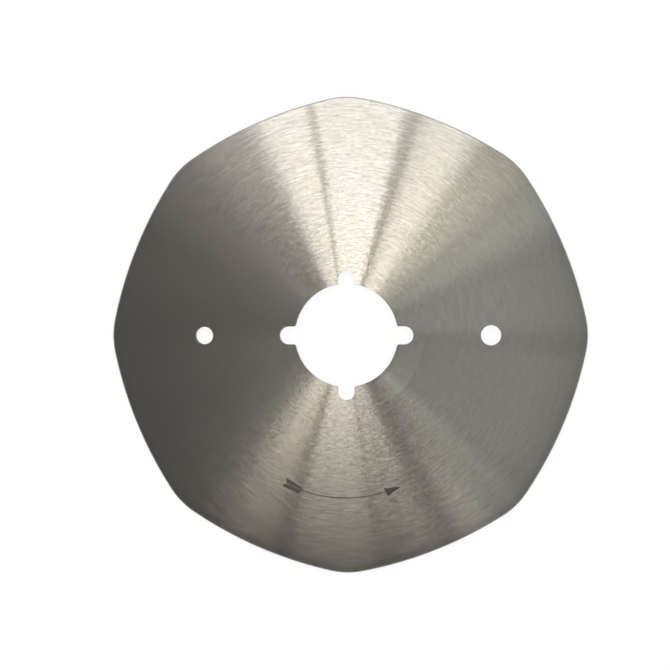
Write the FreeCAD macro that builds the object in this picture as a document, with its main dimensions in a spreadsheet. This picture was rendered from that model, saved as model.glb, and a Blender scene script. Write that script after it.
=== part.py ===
import FreeCAD, Part
import math
import os
import Sketcher

# A flat steel cutting blade with eight slightly curved sides and rounded corners.
# It lies with its marked face up: the underside is at z = 0, the bore stands on the z axis,
# and the two pin holes lie on the x axis. All lengths are in millimetres.

driving_sizes = {
    # rim
    "side_count": 8,
    "across_corners": 100.0,
    "side_arc_radius": 85.0,
    "corner_rounding": 17.0,
    # sheet and ground edge: a wide bevel below, a fine hone above and a thin land between them
    "thickness": 1.0,
    "bevel_width": 3.0,
    "hone_width": 0.2,
    "hone_height": 0.06,
    "edge_land": 0.05,
    # bore, with a wide pair of notches on the x axis and a narrow pair on the y axis
    "bore_diameter": 21.75,
    "wide_notch_width": 3.78,
    "wide_notch_depth": 3.2,
    "wide_notch_mouth_rounding": 0.5,
    "narrow_notch_width": 3.52,
    "narrow_notch_depth": 2.78,
    # pin holes, the smaller one on the -x side
    "small_pin_diameter": 3.7,
    "small_pin_distance": 30.2,
    "large_pin_diameter": 4.2,
    "large_pin_distance": 30.2,
}

# the x axis and origin that every sketch has, and the places of the points on a curve
x_axis, origin = -1, (-1, 1)
start_point, end_point, centre_point = range(1, 4)

centre = FreeCAD.Vector(0, 0, 0)
up = FreeCAD.Vector(0, 0, 1)

# an edge counts as being at a height or a radius when it lies this close to it
tolerance = 0.001


def make_sheet(doc):
    sheet = doc.addObject("Spreadsheet::Sheet", "sizes")
    for row, (name, value) in enumerate(driving_sizes.items(), start=1):
        sheet.set("A%d" % row, name.replace("_", " "))
        sheet.set("B%d" % row, str(value))
        sheet.setAlias("B%d" % row, name)
    return sheet


def add_sketch(body, name):
    sketch = body.newObject("Sketcher::SketchObject", name)
    ground = next(item for item in body.Origin.OriginFeatures if item.Role == "XY_Plane")
    sketch.AttachmentSupport = [(ground, "")]
    sketch.MapMode = "FlatFace"
    return sketch


def bind(sketch, constraint, name, expression):
    index = sketch.addConstraint(constraint)
    sketch.renameConstraint(index, name)
    sketch.setExpression("Constraints." + name, expression)


def polar(distance, angle):
    return FreeCAD.Vector(distance * math.cos(angle), distance * math.sin(angle), 0)


def arc(middle, radius, start_angle, end_angle):
    return Part.ArcOfCircle(Part.Circle(middle, up, radius), start_angle, end_angle)


# The rim is a ring of arcs, each tangent to the next: a small arc rounds each corner and a large
# arc bulges along each side. Only the corner centres are placed, and tangency finds the rest.
def draw_rim(body, sheet):
    sketch = add_sketch(body, "rim_outline")
    count = int(sheet.side_count)
    step = 2 * math.pi / count
    half_span = step / 4
    corner_centre = sheet.across_corners / 2 - sheet.corner_rounding
    side_back = sheet.side_arc_radius - sheet.across_corners / 2

    corners = []
    sides = []
    for number in range(count):
        ahead = number * step
        span = (ahead - half_span, ahead + half_span)
        corner = arc(polar(corner_centre, ahead), sheet.corner_rounding, *span)
        corners.append(sketch.addGeometry(corner))
        ahead = ahead + step / 2
        span = (ahead - half_span, ahead + half_span)
        side = arc(polar(-side_back, ahead), sheet.side_arc_radius, *span)
        sides.append(sketch.addGeometry(side))

    for number in range(count):
        corner, side, next_corner = corners[number], sides[number], corners[(number + 1) % count]
        sketch.addConstraint(Sketcher.Constraint("Tangent", corner, end_point, side, start_point))
        sketch.addConstraint(Sketcher.Constraint("Tangent", side, end_point, next_corner, start_point))
        place = polar(corner_centre, number * step)
        angle = "%d * 360 / sizes.side_count" % number
        for way, first_value, wave in (("X", place.x, "cos"), ("Y", place.y, "sin")):
            distance = Sketcher.Constraint("Distance" + way, *origin, corner, centre_point, first_value)
            reach = "(sizes.across_corners / 2 - sizes.corner_rounding) * %s(%s)" % (wave, angle)
            bind(sketch, distance, "corner_%d_%s" % (number, way.lower()), reach)
        if number > 0:
            sketch.addConstraint(Sketcher.Constraint("Equal", corners[0], corner))
            sketch.addConstraint(Sketcher.Constraint("Equal", sides[0], side))
    rounding = Sketcher.Constraint("Radius", corners[0], sheet.corner_rounding)
    bind(sketch, rounding, "corner_rounding", "sizes.corner_rounding")
    bulge = Sketcher.Constraint("Radius", sides[0], sheet.side_arc_radius)
    bind(sketch, bulge, "side_arc_radius", "sizes.side_arc_radius")
    return sketch


def draw_bore(body, sheet):
    sketch = add_sketch(body, "bore_outline")
    circle = sketch.addGeometry(Part.Circle(centre, up, sheet.bore_diameter / 2))
    sketch.addConstraint(Sketcher.Constraint("Coincident", circle, centre_point, *origin))
    diameter = Sketcher.Constraint("Diameter", circle, sheet.bore_diameter)
    bind(sketch, diameter, "diameter", "sizes.bore_diameter")
    return sketch


# One long slot with full round ends lies across the bore and makes both notches of a pair.
def draw_notches(body, sheet, pair, turn):
    sketch = add_sketch(body, pair + "_outline")
    sketch.AttachmentOffset = FreeCAD.Placement(centre, up, turn)
    half_width = getattr(sheet, pair + "_width") / 2
    end_centre = sheet.bore_diameter / 2 + getattr(sheet, pair + "_depth") - half_width
    quarter = math.pi / 2
    right = sketch.addGeometry(arc(FreeCAD.Vector(end_centre, 0, 0), half_width, -quarter, quarter))
    left = sketch.addGeometry(arc(FreeCAD.Vector(-end_centre, 0, 0), half_width, quarter, 3 * quarter))
    for side, round_end, next_round_end in ((1, right, left), (-1, left, right)):
        wall_start = FreeCAD.Vector(side * end_centre, side * half_width, 0)
        wall_end = FreeCAD.Vector(-side * end_centre, side * half_width, 0)
        wall = sketch.addGeometry(Part.LineSegment(wall_start, wall_end))
        sketch.addConstraint(Sketcher.Constraint("Tangent", round_end, end_point, wall, start_point))
        sketch.addConstraint(Sketcher.Constraint("Tangent", wall, end_point, next_round_end, start_point))
    sketch.addConstraint(Sketcher.Constraint("PointOnObject", right, centre_point, x_axis))
    sketch.addConstraint(
        Sketcher.Constraint("Symmetric", left, centre_point, right, centre_point, *origin)
    )
    sketch.addConstraint(Sketcher.Constraint("Equal", left, right))
    radius = Sketcher.Constraint("Radius", right, half_width)
    bind(sketch, radius, "end_radius", "sizes.%s_width / 2" % pair)
    reach = Sketcher.Constraint("DistanceX", *origin, right, centre_point, end_centre)
    to_end_centre = "sizes.bore_diameter / 2 + sizes.%s_depth - sizes.%s_width / 2" % (pair, pair)
    bind(sketch, reach, "end_centre", to_end_centre)
    return sketch


def draw_pins(body, sheet):
    sketch = add_sketch(body, "pin_outline")
    for pin, side in (("small_pin", -1), ("large_pin", 1)):
        pin_diameter = getattr(sheet, pin + "_diameter")
        x = side * getattr(sheet, pin + "_distance")
        circle = sketch.addGeometry(Part.Circle(FreeCAD.Vector(x, 0, 0), up, pin_diameter / 2))
        sketch.addConstraint(Sketcher.Constraint("PointOnObject", circle, centre_point, x_axis))
        distance = Sketcher.Constraint("DistanceX", *origin, circle, centre_point, x)
        bind(sketch, distance, pin + "_distance", "%d * sizes.%s_distance" % (side, pin))
        diameter = Sketcher.Constraint("Diameter", circle, pin_diameter)
        bind(sketch, diameter, pin + "_diameter", "sizes.%s_diameter" % pin)
    return sketch


# cuts the sketch's shape out of the sheet, from the underside upwards and right through
def cut_through(body, sketch, name):
    before = body.Tip.Shape.Volume
    pocket = body.newObject("PartDesign::Pocket", name)
    pocket.Profile = sketch
    pocket.Type = "ThroughAll"
    pocket.Reversed = True
    body.Document.recompute()
    if not pocket.Shape.Volume < before:
        raise ValueError(name + " cuts nothing")


def edge_names(shape, wanted):
    return ["Edge%d" % number for number, edge in enumerate(shape.Edges, start=1) if wanted(edge)]


def is_level_at(edge, height):
    box = edge.BoundBox
    return abs(box.ZMin - height) < tolerance and abs(box.ZMax - height) < tolerance


def is_upright_at(edge, radius):
    middle = edge.CenterOfMass
    upright = edge.BoundBox.ZLength > edge.Length - tolerance
    return upright and abs(math.hypot(middle.x, middle.y) - radius) < tolerance


# true where the first of the two faces that meet along the edge is a flat one
def has_flat_face_first(shape, edge):
    first = next(face for face in shape.Faces if any(edge.isSame(side) for side in face.Edges))
    return first.Surface.isPlanar()


# Grinds the whole rim at one height, so far in across the flat face and so far along the edge.
# A chamfer measures its first distance on the edge's first face, so it is flipped to start flat.
def grind_rim(body, name, height, across_face, along_edge):
    base = body.Tip
    rim = edge_names(base.Shape, lambda edge: is_level_at(edge, height))
    chamfer = body.newObject("PartDesign::Chamfer", name)
    chamfer.Base = (base, rim)
    chamfer.ChamferType = "Two distances"
    chamfer.FlipDirection = not has_flat_face_first(base.Shape, base.Shape.getElement(rim[0]))
    chamfer.setExpression("Size", across_face)
    chamfer.setExpression("Size2", along_edge)
    body.Document.recompute()


def round_mouths(body, sheet):
    base = body.Tip
    bore_radius = sheet.bore_diameter / 2
    fillet = body.newObject("PartDesign::Fillet", "wide_notch_mouths")
    fillet.Base = (base, edge_names(base.Shape, lambda edge: is_upright_at(edge, bore_radius)))
    fillet.setExpression("Radius", "sizes.wide_notch_mouth_rounding")
    body.Document.recompute()


def make_blade(doc, sheet):
    body = doc.addObject("PartDesign::Body", "blade")
    body.Label = "blade"

    # sheet cut to the rim's outline
    blank = body.newObject("PartDesign::Pad", "sheet_blank")
    blank.Profile = draw_rim(body, sheet)
    blank.setExpression("Length", "sizes.thickness")
    doc.recompute()

    # ground edge, which follows the sides and corners all the way round
    bevel_height = "sizes.thickness - sizes.hone_height - sizes.edge_land"
    grind_rim(body, "bevel", 0, "sizes.bevel_width", bevel_height)
    grind_rim(body, "hone", sheet.thickness, "sizes.hone_width", "sizes.hone_height")

    # bore with its notches, and pin holes
    cut_through(body, draw_bore(body, sheet), "bore")
    cut_through(body, draw_notches(body, sheet, "wide_notch", 0), "wide_notches")
    round_mouths(body, sheet)
    cut_through(body, draw_notches(body, sheet, "narrow_notch", 90), "narrow_notches")
    cut_through(body, draw_pins(body, sheet), "pin_holes")
    return body


doc = FreeCAD.newDocument("rotary_cutter_blade")
sheet = make_sheet(doc)
doc.recompute()
blade = make_blade(doc, sheet)
doc.recompute()

for item in doc.Objects:
    if "Invalid" in item.State or "Error" in item.State:
        raise ValueError(item.Name + " failed: " + ", ".join(item.State))
    if item.isDerivedFrom("Sketcher::SketchObject") and not item.FullyConstrained:
        raise ValueError(item.Name + " is not fully constrained")
if blade.Shape.isNull() or not blade.Shape.isValid():
    raise ValueError("blade has no valid shape")

os.makedirs("parts", exist_ok=True)
blade.Shape.exportStep("parts/blade.step")
print("blade: %.3f mm3, box %s" % (blade.Shape.Volume, blade.Shape.BoundBox))
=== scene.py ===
import math

import bmesh
import bpy
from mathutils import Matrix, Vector


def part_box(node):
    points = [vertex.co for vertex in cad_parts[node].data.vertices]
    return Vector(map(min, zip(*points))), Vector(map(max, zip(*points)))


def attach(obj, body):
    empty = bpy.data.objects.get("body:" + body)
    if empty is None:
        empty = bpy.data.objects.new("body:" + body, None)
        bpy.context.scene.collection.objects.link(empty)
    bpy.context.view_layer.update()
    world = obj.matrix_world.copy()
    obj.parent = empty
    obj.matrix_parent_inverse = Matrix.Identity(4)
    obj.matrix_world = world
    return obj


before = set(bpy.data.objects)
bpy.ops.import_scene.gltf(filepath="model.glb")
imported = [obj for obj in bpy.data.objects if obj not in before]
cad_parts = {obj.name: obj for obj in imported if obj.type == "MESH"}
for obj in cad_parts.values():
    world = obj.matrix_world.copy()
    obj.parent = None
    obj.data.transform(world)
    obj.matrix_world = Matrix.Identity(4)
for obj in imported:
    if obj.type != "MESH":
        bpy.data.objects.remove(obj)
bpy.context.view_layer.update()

mm = 0.001
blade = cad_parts["blade"]
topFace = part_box("blade")[1].z
print("blade loaded, marked face at %.2f mm" % (topFace / mm))


class Wire:
    # a shader node's output that can be used like a number

    def __init__(self, tree, socket=None):
        self.tree = tree
        self.socket = socket

    def node(self, kind, settings, sockets, output=0):
        made = self.tree.nodes.new(kind)
        for name, value in settings.items():
            setattr(made, name, value)
        for name, value in sockets.items():
            if isinstance(value, Wire):
                self.tree.links.new(value.socket, made.inputs[name])
            else:
                made.inputs[name].default_value = value
        return Wire(self.tree, made.outputs[output]) if len(made.outputs) else None

    def math(self, operation, *others):
        sockets = dict(enumerate((self, *others)))
        return self.node("ShaderNodeMath", {"operation": operation}, sockets)

    def vector(self, operation, *others):
        sockets = dict(enumerate((self, *others)))
        return self.node("ShaderNodeVectorMath", {"operation": operation}, sockets)

    def scaled(self, factor):
        return self.node("ShaderNodeVectorMath", {"operation": "SCALE"}, {0: self, "Scale": factor})

    def axes(self):
        parts = self.node("ShaderNodeSeparateXYZ", {}, {0: self})
        return [Wire(self.tree, output) for output in parts.socket.node.outputs]

    def __add__(self, other):
        return self.math("ADD", other)

    def __sub__(self, other):
        return self.math("SUBTRACT", other)

    def __rsub__(self, other):
        return self.node("ShaderNodeMath", {"operation": "SUBTRACT"}, {0: other, 1: self})

    def __mul__(self, other):
        return self.math("MULTIPLY", other)

    def __truediv__(self, other):
        return self.math("DIVIDE", other)

    def __rtruediv__(self, other):
        return self.node("ShaderNodeMath", {"operation": "DIVIDE"}, {0: other, 1: self})

    __radd__ = __add__
    __rmul__ = __mul__

    def step(self, low, high):            # 0 below low, 1 above high, soft between
        settings = {"interpolation_type": "SMOOTHSTEP"}
        return self.node("ShaderNodeMapRange", settings, {0: self, 1: low, 2: high})

    def within(self, low, high, soft):    # 1 between low and high, soft at both ends
        return self.step(low - soft, low + soft) * (1 - self.step(high - soft, high + soft))

    def noise(self, scale, detail):
        return self.node("ShaderNodeTexNoise", {}, {"Vector": self, "Scale": scale, "Detail": detail})

    def mixed(self, first, second):       # this value as the factor between two colours
        return self.node("ShaderNodeMix", {"data_type": "RGBA"}, {0: self, 6: first, 7: second}, 2)


def newMaterial(name):
    material = bpy.data.materials.new(name)
    material.use_nodes = True
    material.node_tree.nodes.clear()
    return material, Wire(material.node_tree)


def colour(red, green, blue, level=1):
    return red * level, green * level, blue * level, 1


bladeLook = {                             # lengths in millimetres
    # The grinding ran in rings round the bore, so the grain is laid out by radius and angle:
    # marks to a millimetre across the rings, and to a radian along them.
    "lines": (3.2, 12.0),
    "specks": (2.4, 40.0),
    "strokes": (0.15, 260.0),             # the edge grinding's, which run across the rim
    "detail": 2,
    "strokeSpread": 0.9,                  # how far the strokes lighten and darken the edge
    "sideDepth": 0.25,                    # of the grain at the sides, where it is faint
    "endDepth": 0.9,                      # and towards the top and bottom
    "endFocus": 4,                        # higher keeps the deep grain nearer the ends
    "radialTilt": 0.008,                  # how far the lines lean the surface in and out
    "sidewaysTilt": 0.004,
    "sidewaysShift": 500,                 # moves to another part of the noise

    # bright crests that the grinding left, with dull grooves between them
    "crestColour": (0.64, 0.62, 0.585),
    "crestRoughness": 0.0987,
    "crestAnisotropy": 0.897,             # spreads the gloss in and out, across the rings
    "crestShare": 0.76,                   # of the face, before the grain varies it
    "lineSpread": 0.7,
    "speckSpread": 0.5,

    # the rest of the steel, as colour and roughness
    "groove": ((0.09, 0.09, 0.085), 0.5),
    "cut": ((0.42, 0.41, 0.39), 0.4),     # walls of the bore, notches and pin holes
    "hone": ((0.26, 0.25, 0.24), 0.45),
    "bevel": ((0.5, 0.49, 0.47), 0.3),

    # how far up each face's normal points, from 1 to -1
    "levelFacing": (0.975, 0.99),         # or as far down
    "honeFacing": (0.6, 0.975),
    "bevelFacing": (-0.98, -0.6),
    "softFacing": 0.01,

    # painted shade along the rim, none at the top and most at the bottom
    "sideRadius": 85.0,                   # of the side arcs
    "sideMiddle": 48.7,                   # from the bore's centre to the middle of a side
    "sides": 8,
    "paintedRimShades": ((2.6, 0.20), (9.0, 0.10)),  # reach inwards, and depth at the left and right

    # wear
    "collar": (11.5, 16.3),               # radii of the flange's contact ring
    "collarSoft": 0.3,
    "collarSide": -35.0,                  # where it shows, in degrees round from +X
    "collarFade": (0.8, 0.97),            # cosines of the angle from there: gone, and full
    "collarShine": 0.15,
    "spot": (4.86, -35.85),
    "spotSize": 0.24,
    "spotSoft": 0.1,
    "spotDepth": 0.55,
}


def bladePlace(start):
    x, y = start.node("ShaderNodeTexCoord", {}, {}, "Object").axes()[:2]
    radius = (x * x + y * y).math("SQRT")
    return {"x": x, "y": y, "radius": radius, "outX": x / radius, "outY": y / radius}


def ringGrain(place, marks, shift=0):     # from about -0.5 to 0.5
    across, along = marks
    spot = place["radius"].node("ShaderNodeCombineXYZ", {}, {
        0: place["outX"] * along,
        1: place["outY"] * along,
        2: place["radius"] * (across / mm) + shift,
    })
    return spot.noise(1, bladeLook["detail"]) - 0.5


def leaningNormal(place, normal, lines):
    sideways = ringGrain(place, bladeLook["specks"], bladeLook["sidewaysShift"])
    sidewaysLean = sideways * bladeLook["sidewaysTilt"]
    radialLean = lines * bladeLook["radialTilt"]
    lean = normal.node("ShaderNodeCombineXYZ", {}, {
        0: place["outX"] * radialLean - place["outY"] * sidewaysLean,
        1: place["outY"] * radialLean + place["outX"] * sidewaysLean,
    })
    return normal.vector("ADD", lean).vector("NORMALIZE")


def rimInset(place):                      # millimetres in from the rim
    # every point is turned into one half side of the octagon
    halfSide = math.pi / bladeLook["sides"]
    turn = place["y"].math("ARCTAN2", place["x"])
    fromMiddle = halfSide - turn.math("PINGPONG", halfSide)
    behind = (bladeLook["sideRadius"] - bladeLook["sideMiddle"]) * mm
    ahead = place["radius"] * fromMiddle.math("COSINE") + behind
    beside = place["radius"] * fromMiddle.math("SINE")
    return bladeLook["sideRadius"] - (ahead * ahead + beside * beside).math("SQRT") / mm


def contactRing(place):
    turn = math.radians(bladeLook["collarSide"])
    towardsSide = place["outX"] * math.cos(turn) + place["outY"] * math.sin(turn)
    ring = (place["radius"] / mm).within(*bladeLook["collar"], bladeLook["collarSoft"])
    return ring * towardsSide.step(*bladeLook["collarFade"]) * bladeLook["collarShine"]


def darkSpot(place):
    spotX, spotY = bladeLook["spot"]
    besideX = place["x"] - spotX * mm
    besideY = place["y"] - spotY * mm
    away = (besideX * besideX + besideY * besideY).math("SQRT") / mm
    size, soft = bladeLook["spotSize"], bladeLook["spotSoft"]
    return (1 - away.step(size - soft, size + soft)) * bladeLook["spotDepth"]


def crestShare(place, lines, specks):
    towardsEnds = place["outY"].math("POWER", bladeLook["endFocus"])
    deeper = bladeLook["endDepth"] - bladeLook["sideDepth"]
    depth = towardsEnds * deeper + bladeLook["sideDepth"]
    marks = lines * bladeLook["lineSpread"] + specks * bladeLook["speckSpread"]
    share = bladeLook["crestShare"] + depth * marks
    # painted shade: fewer bright crests towards the rim, none at the top and most at the bottom
    inset = rimInset(place)
    for reach, shade in bladeLook["paintedRimShades"]:
        share = share * (1 - (1 - inset.step(0, reach)) * shade * (1 - place["outY"]))
    return (share + contactRing(place)) * (1 - darkSpot(place))


def groundSteel():
    material, start = newMaterial("ground_steel")
    place = bladePlace(start)
    smooth = start.node("ShaderNodeNewGeometry", {}, {}, "Normal")
    facet = start.node("ShaderNodeNewGeometry", {}, {}, "True Normal")
    lift = facet.axes()[2]
    flat = lift.math("ABSOLUTE").step(*bladeLook["levelFacing"])
    finishes = {
        "groove": flat,
        "hone": lift.within(*bladeLook["honeFacing"], bladeLook["softFacing"]),
        "bevel": lift.within(*bladeLook["bevelFacing"], bladeLook["softFacing"]),
    }

    cutTint, cutRough = bladeLook["cut"]
    tint, rough = colour(*cutTint), cutRough
    for name, mask in finishes.items():
        finishTint, finishRough = bladeLook[name]
        tint = mask.mixed(tint, colour(*finishTint))
        rough = rough + mask * (finishRough - cutRough)
    strokes = ringGrain(place, bladeLook["strokes"]) * (1 - flat)

    lines = ringGrain(place, bladeLook["lines"])
    specks = ringGrain(place, bladeLook["specks"])
    normal = flat.mixed(smooth, facet)    # level on both faces, rounded elsewhere
    groundNormal = leaningNormal(place, normal, lines)
    grooves = start.node("ShaderNodeBsdfPrincipled", {}, {
        "Base Color": tint.scaled(1 + strokes * bladeLook["strokeSpread"]),
        "Metallic": 1.0,
        "Roughness": rough,
        "Normal": groundNormal,
    })
    crests = start.node("ShaderNodeBsdfAnisotropic", {"distribution": "BECKMANN"}, {
        "Color": colour(*bladeLook["crestColour"]),
        "Roughness": bladeLook["crestRoughness"],
        "Anisotropy": bladeLook["crestAnisotropy"],
        "Normal": groundNormal,
    })
    shine = crestShare(place, lines, specks) * flat
    shader = start.node("ShaderNodeMixShader", {}, {0: shine, 1: grooves, 2: crests})
    start.node("ShaderNodeOutputMaterial", {}, {"Surface": shader})
    return material


blade.data.materials.clear()
blade.data.materials.append(groundSteel())
print("blade finished")


arrow = {                                 # lengths and points in millimetres, on the marked face
    "arcCentre": (-0.45, -7.75),
    "arcRadius": 26.5,
    "strokeEnds": ((-9.24, -32.68), (8.30, -32.86)),
    "strokeWidth": 0.28,
    "strokeSteps": 48,
    "barbs": (((-12.70, -30.14), (-12.75, -31.19), (-9.22, -32.62), (-9.64, -31.98)),
              ((-12.79, -31.31), (-13.62, -31.77), (-10.35, -33.32), (-9.26, -32.74))),
    "head": ((11.50, -31.66), (7.83, -32.13), (8.30, -32.86), (8.65, -33.79)),
    "proud": 0.008,                       # height above the face
    "sunk": 0.002,                        # and depth into it, so that no gap shows
    "tones": {
        "tail": (0.085, 0.076, 0.066),
        "stroke": (0.14, 0.125, 0.108),
        "head": (0.066, 0.059, 0.051),
    },
    "flecks": (-0.2, 0.2),                # where in the grain they start, and are full
    "fleckLevels": (0.8, 1.2),            # darkest and lightest, as shares of a tone
    "metallic": 0.5,
    "roughness": 0.45,
}


def markOutline(form, points, part):
    low = topFace - arrow["sunk"] * mm
    high = topFace + arrow["proud"] * mm
    bottom = [form.verts.new((px * mm, py * mm, low)) for px, py in points]
    top = [form.verts.new((px * mm, py * mm, high)) for px, py in points]
    faces = [form.faces.new(top), form.faces.new(list(reversed(bottom)))]
    for i in range(len(points)):
        j = (i + 1) % len(points)
        faces.append(form.faces.new((bottom[i], bottom[j], top[j], top[i])))
    for face in faces:
        face.material_index = list(arrow["tones"]).index(part)


def strokeOutline():
    cx, cy = arrow["arcCentre"]
    fromAngle, toAngle = (math.atan2(py - cy, px - cx) for px, py in arrow["strokeEnds"])
    outer, inner = [], []
    for i in range(arrow["strokeSteps"] + 1):
        turn = fromAngle + (toAngle - fromAngle) * i / arrow["strokeSteps"]
        for side, line in ((0.5, outer), (-0.5, inner)):
            reach = arrow["arcRadius"] + side * arrow["strokeWidth"]
            line.append((cx + reach * math.cos(turn), cy + reach * math.sin(turn)))
    return outer + list(reversed(inner))


def markMaterial(part):
    material, start = newMaterial("etched_" + part)
    dark, light = (colour(*arrow["tones"][part], level) for level in arrow["fleckLevels"])
    flecks = ringGrain(bladePlace(start), bladeLook["lines"]).step(*arrow["flecks"])
    shader = start.node("ShaderNodeBsdfPrincipled", {}, {
        "Base Color": flecks.mixed(dark, light),
        "Metallic": arrow["metallic"],
        "Roughness": arrow["roughness"],
    })
    start.node("ShaderNodeOutputMaterial", {}, {"Surface": shader})
    return material


def turningArrow():
    form = bmesh.new()
    for points in arrow["barbs"]:
        markOutline(form, points, "tail")
    markOutline(form, strokeOutline(), "stroke")
    markOutline(form, arrow["head"], "head")
    bmesh.ops.recalc_face_normals(form, faces=form.faces)
    mesh = bpy.data.meshes.new("turning_arrow")
    form.to_mesh(mesh)
    form.free()
    for part in arrow["tones"]:
        mesh.materials.append(markMaterial(part))
    piece = bpy.data.objects.new("turning_arrow", mesh)
    bpy.context.scene.collection.objects.link(piece)
    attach(piece, "root")


turningArrow()
print("turning arrow marked")


# Soft panels hang round the spot where the blade mirrors the camera. Angles run round from
# +X, in degrees, and reaches are sines of the angle away from that spot.
studio = {
    "mirrorSpot": (-0.073, -0.013),
    "walls": (1.3, 1.3, 1.28),            # beyond the shade
    "shade": (0.02, 0.02, 0.02),
    "shadeReach": 0.58,
    "shadeSoft": 0.1,
    "panels": (
        # colour, angles, soft ends, reach, soft reach
        # these light the right of the blade, from the bottom up
        ((0.92, 0.88, 0.82), (-62, -51), 5, (0.16, 0.36), 0.04),
        ((0.66, 0.74, 0.70), (-51, -37), 7, (0.15, 0.23), 0.04),
        ((0.90, 0.87, 0.78), (-52, -39), 6, (-0.03, 0.15), 0.03),
        ((0.76, 0.78, 0.76), (-40, -3), 6, (0.11, 0.24), 0.04),
        ((0.42, 0.39, 0.33), (-40, -3), 6, (-0.03, 0.11), 0.03),
        ((1.34, 1.32, 1.20), (-3, 40), 8, (0.06, 0.15), 0.03),
        ((0.52, 0.58, 0.56), (-3, 27), 8, (0.15, 0.22), 0.03),
        ((1.20, 1.30, 1.22), (27, 40), 6, (0.15, 0.23), 0.03),
        ((1.36, 1.33, 1.17), (38, 56), 7, (0.03, 0.24), 0.03),
        # the left
        ((0.11, 0.11, 0.105), (165, 230), 10, (0.12, 0.50), 0.05),
        ((0.18, 0.165, 0.15), (229, 244), 5, (0.08, 0.22), 0.04),
        ((0.52, 0.47, 0.45), (126, 157), 14, (0.09, 0.17), 0.03),
        ((0.45, 0.43, 0.42), (120, 142), 14, (0.24, 0.50), 0.05),
        ((1.28, 1.14, 1.06), (108, 126), 9, (0.12, 0.24), 0.04),
        ((0.70, 0.72, 0.66), (108, 128), 9, (0.24, 0.50), 0.05),
        ((0.16, 0.15, 0.15), (153, 174), 11, (0.14, 0.34), 0.05),
        # the bottom, right of its bright fan
        ((0.36, 0.32, 0.30), (-72, -60), 4, (0.05, 0.30), 0.04),
        # the top's bright fan; the three nearest the spot light the bottom's as well
        ((9.40, 8.40, 7.10), (53, 76), 7, (-0.03, 0.05), 0.03),
        ((8.10, 7.40, 6.50), (74, 103), 5, (-0.03, 0.05), 0.03),
        ((4.60, 4.05, 3.45), (98, 107), 6, (-0.03, 0.05), 0.03),
        ((2.18, 2.15, 1.97), (54.5, 78), 5, (0.05, 0.145), 0.03),
        ((3.42, 3.36, 3.14), (74, 104), 3, (0.05, 0.145), 0.03),
        ((3.38, 3.20, 2.88), (99, 111.5), 5, (0.05, 0.145), 0.03),
        ((1.00, 1.05, 1.00), (54.5, 78), 5, (0.145, 0.215), 0.03),
        ((0.70, 0.85, 0.90), (74, 102), 3, (0.145, 0.215), 0.03),
        ((1.10, 1.18, 1.18), (98, 114), 5, (0.145, 0.22), 0.03),
        ((2.60, 2.50, 2.45), (56, 114), 5, (0.30, 0.75), 0.05),
    ),
    "gapColour": (0, 0, 0),
    "gaps": (
        # cover, angles, soft ends, reach, soft reach; these make the dark streaks
        (0.75, (67.0, 71.4), 1.2, (-0.03, 0.05), 0.03),
        (0.88, (69.6, 74.0), 1.2, (0.05, 0.145), 0.03),
        (0.92, (70.8, 75.0), 1.2, (0.145, 0.30), 0.03),
        (0.60, (95.6, 97.6), 0.7, (-0.03, 0.05), 0.03),
        (0.85, (96.8, 98.8), 0.7, (0.05, 0.145), 0.03),
        (0.95, (97.3, 99.2), 0.6, (0.145, 0.30), 0.03),
        (0.15, (51.8, 53.4), 0.5, (0.05, 0.30), 0.03),
    ),
}


def studioWorld():
    world = bpy.data.worlds.new("studio")
    world.use_nodes = True
    world.node_tree.nodes.clear()
    start = Wire(world.node_tree)
    direction = start.node("ShaderNodeTexCoord", {}, {}, "Generated")
    x, y = (part - spot for part, spot in zip(direction.axes(), studio["mirrorSpot"]))
    angle = y.math("ARCTAN2", x) * math.degrees(1)
    reach = (x * x + y * y).math("SQRT")
    shaded = 1 - reach.step(studio["shadeReach"] - studio["shadeSoft"],
                            studio["shadeReach"] + studio["shadeSoft"])
    light = shaded.mixed(colour(*studio["walls"]), colour(*studio["shade"]))
    layers = [(tint, 1, *where) for tint, *where in studio["panels"]]
    layers += [(studio["gapColour"], cover, *where) for cover, *where in studio["gaps"]]
    for tint, cover, (fromAngle, toAngle), softEnds, (near, far), softReach in layers:
        half = (toAngle - fromAngle) / 2
        away = (angle - (fromAngle + half)).math("WRAP", 180, -180).math("ABSOLUTE")
        ends = 1 - away.step(half - softEnds, half + softEnds)
        mask = ends * reach.within(near, far, softReach)
        light = (mask * cover).mixed(light, colour(*tint))
    shine = start.node("ShaderNodeBackground", {}, {"Color": light, "Strength": 1.0})
    start.node("ShaderNodeOutputWorld", {}, {"Surface": shine})
    bpy.context.scene.world = world


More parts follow.
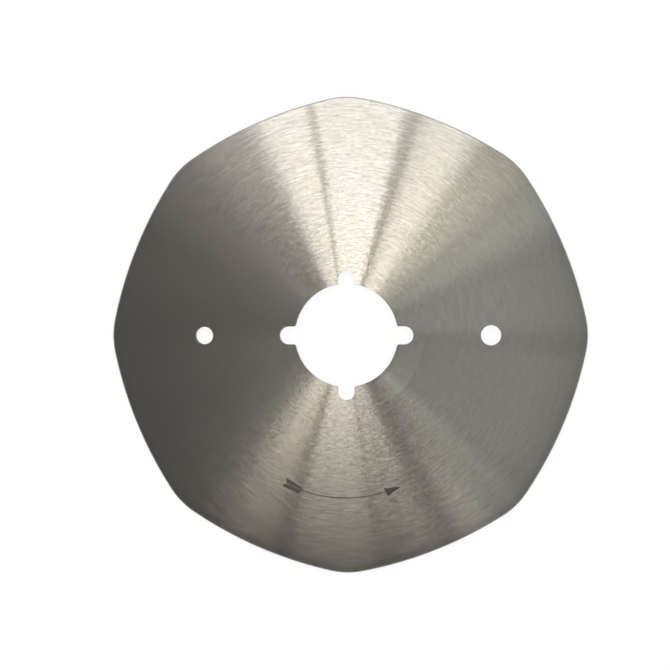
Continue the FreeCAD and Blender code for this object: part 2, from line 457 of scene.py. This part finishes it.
floorLook = {
    "half": 2.0,                          # metres from the middle to a side
    "drop": 0.05,                         # millimetres, so that it shares no plane with the blade
    "colour": (0.9, 0.9, 0.9),
    "glow": 0.85,                         # share of its look that is plain white, with no shadow
    "white": 1.02,
}


def paleFloor():
    form = bmesh.new()
    bmesh.ops.create_grid(form, x_segments=1, y_segments=1, size=floorLook["half"])
    mesh = bpy.data.meshes.new("floor")
    form.to_mesh(mesh)
    form.free()
    material, start = newMaterial("pale_floor")
    matt = start.node("ShaderNodeBsdfDiffuse", {}, {"Color": colour(*floorLook["colour"])})
    white = {"Color": colour(1, 1, 1), "Strength": floorLook["white"]}
    glow = start.node("ShaderNodeEmission", {}, white)
    rays = start.node("ShaderNodeLightPath", {}, {}).socket.node.outputs
    kinds = ("Is Camera Ray", "Is Glossy Ray", "Is Transmission Ray")
    seen = sum(Wire(start.tree, rays[kind]) for kind in kinds).math("MINIMUM", 1)
    above = start.node("ShaderNodeMixShader", {}, {0: seen * floorLook["glow"], 1: matt, 2: glow})
    clear = start.node("ShaderNodeBsdfTransparent", {}, {})
    fromBelow = start.node("ShaderNodeNewGeometry", {}, {}, "Backfacing")
    shader = start.node("ShaderNodeMixShader", {}, {0: fromBelow, 1: above, 2: clear})
    start.node("ShaderNodeOutputMaterial", {}, {"Surface": shader})
    mesh.materials.append(material)
    floor = bpy.data.objects.new("floor", mesh)
    floor.location.z = -floorLook["drop"] * mm
    bpy.context.scene.collection.objects.link(floor)


view = {
    "place": (16.1, 2.9, 221.0),          # millimetres
    "turn": (-0.01291, 0.08365, -0.00197),    # radians
    "focal": 1049.8,                      # in pixels of a picture as wide as the next value
    "picture": 670.0,
    "sensor": 36.0,
}


def photoCamera():
    lens = bpy.data.cameras.new("camera")
    lens.sensor_width = view["sensor"]
    lens.lens = view["sensor"] * view["focal"] / view["picture"]
    lens.clip_start = mm
    camera = bpy.data.objects.new("camera", lens)
    camera.location = Vector(view["place"]) * mm
    camera.rotation_euler = view["turn"]
    bpy.context.scene.collection.objects.link(camera)
    bpy.context.scene.camera = camera


studioWorld()
paleFloor()
photoCamera()
bpy.context.scene.view_settings.view_transform = "Standard"
print("studio ready")
